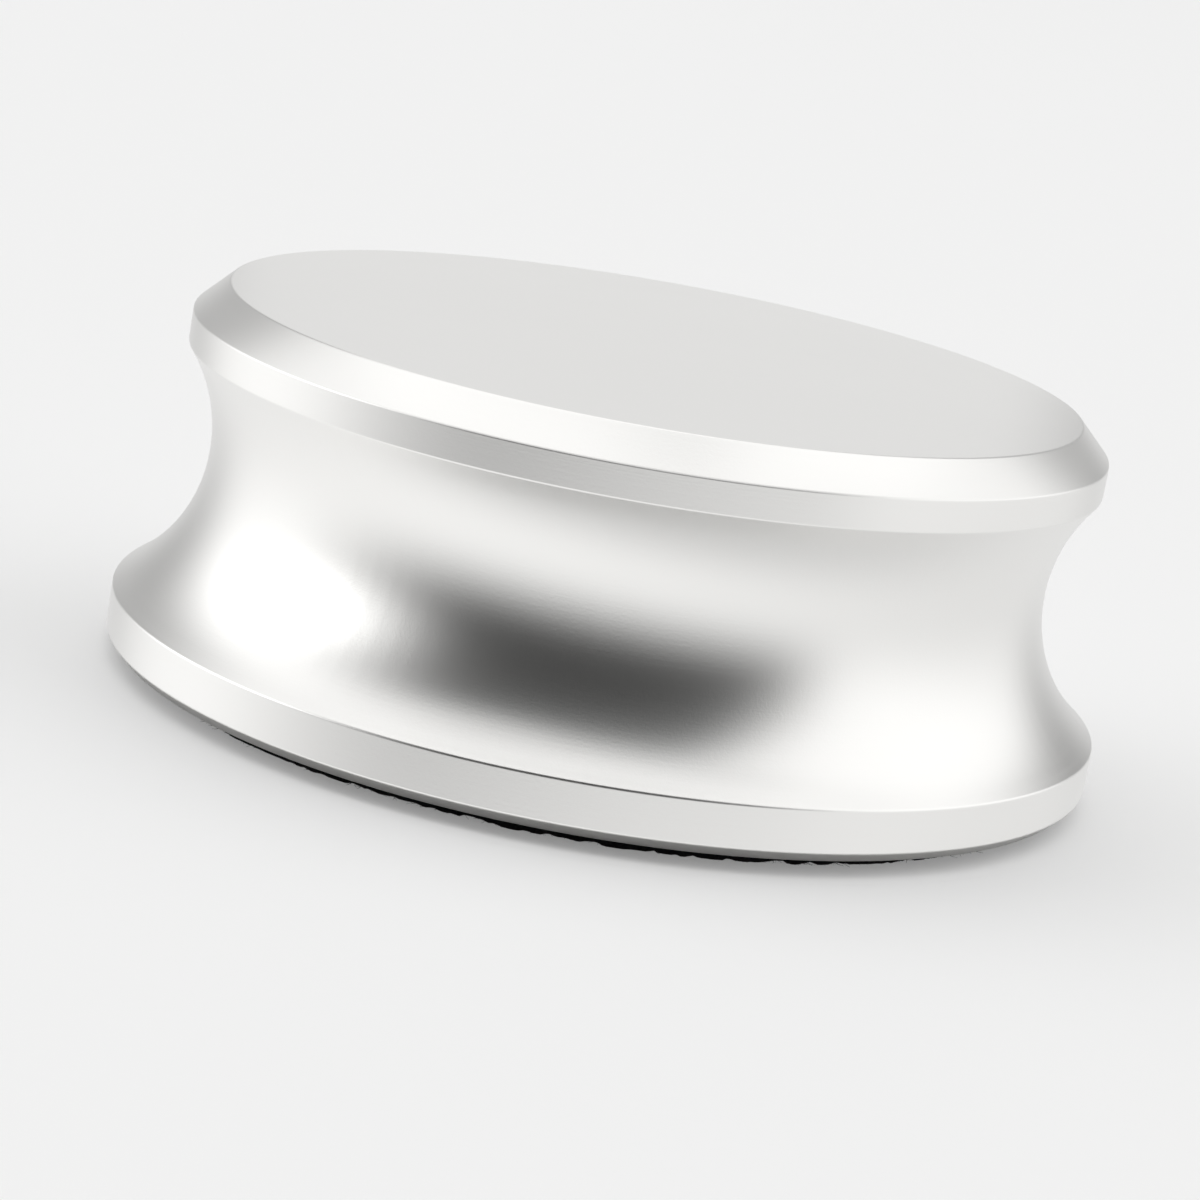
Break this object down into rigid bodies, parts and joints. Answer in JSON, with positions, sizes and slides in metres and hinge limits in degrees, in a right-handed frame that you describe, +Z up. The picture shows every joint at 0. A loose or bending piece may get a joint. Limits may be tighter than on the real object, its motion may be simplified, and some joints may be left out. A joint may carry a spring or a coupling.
{
  "type": "record weight",
  "caption": "Turned aluminium record weight: flat bevelled top, hollowed waist for the fingers, blind bore that slips over a turntable spindle, and a felt ring to rest on.",
  "frame": {"origin": "middle of the felt ring's underside, on the spindle's axis", "axes": "+Z up along the spindle's axis, from the felt ring to the flat top; X and Y are any two directions across the round body"},
  "size_m": [0.076, 0.076, 0.029],
  "materials": {
    "anodised_aluminium": "fine satin blast, clear anodised",
    "black_felt": "pressed black felt with a die-cut edge"
  },
  "bodies": {
    "root": {"weight_body": "anodised_aluminium", "base_pad": "black_felt"}
  },
  "joints": []
}
